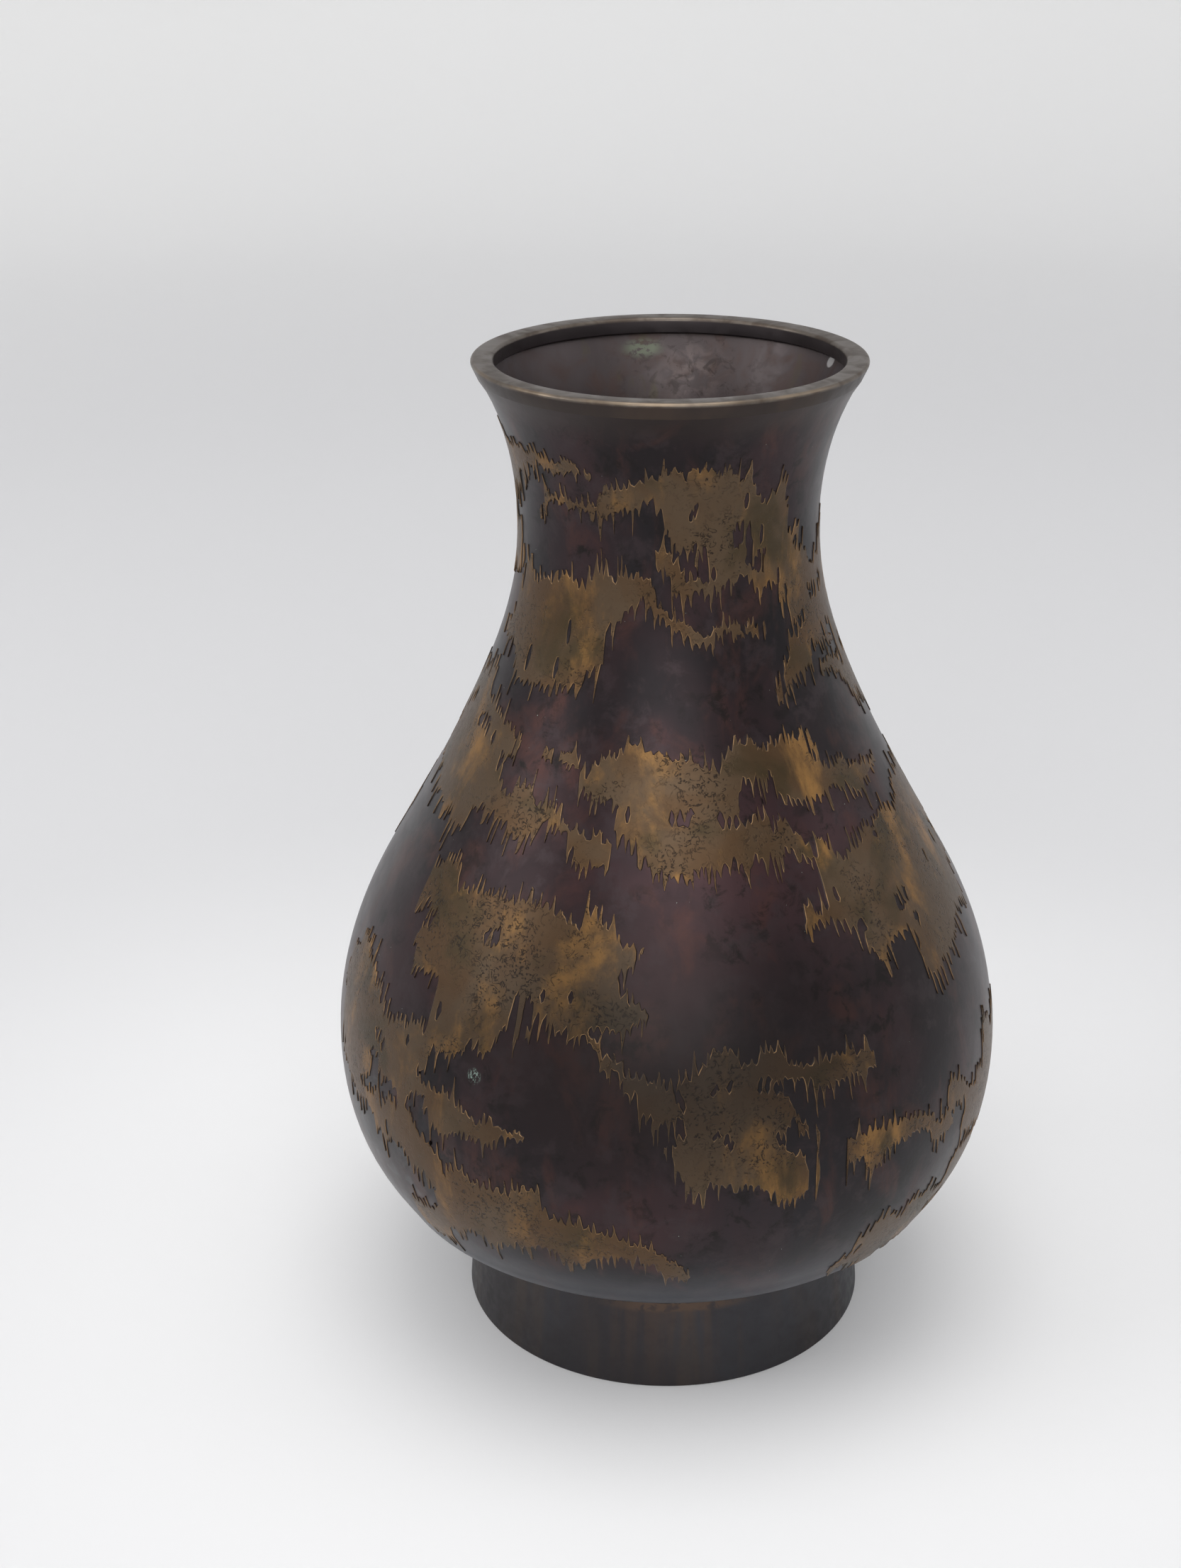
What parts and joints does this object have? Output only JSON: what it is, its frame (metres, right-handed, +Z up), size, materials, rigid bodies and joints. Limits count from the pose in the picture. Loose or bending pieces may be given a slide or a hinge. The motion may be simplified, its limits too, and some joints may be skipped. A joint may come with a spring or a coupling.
{
  "type": "metal vase",
  "caption": "Pear-shaped cast metal flower vase with a thick turned lip, narrow flared neck, round belly, separate ring foot and closed bottom.",
  "frame": {"origin": "centre of the flat face that the foot ring stands on", "axes": "+Z up along the axis that the vase is turned on"},
  "size_m": [0.174, 0.174, 0.26],
  "materials": {
    "body_bronze": "satin, dark plum-brown patina with olive-gold patches",
    "lip_bronze": "satin, worn taupe bronze with brassy edges",
    "foot_bronze": "matt charcoal-brown patina",
    "plate_bronze": "dull turned bronze",
    "solder": "dull brown solder bead"
  },
  "bodies": {
    "root": {"body_shell": "body_bronze", "mouth_ring": "lip_bronze", "foot_ring": "foot_bronze", "base_plate": "plate_bronze", "solder_seam": "solder"}
  },
  "joints": []
}
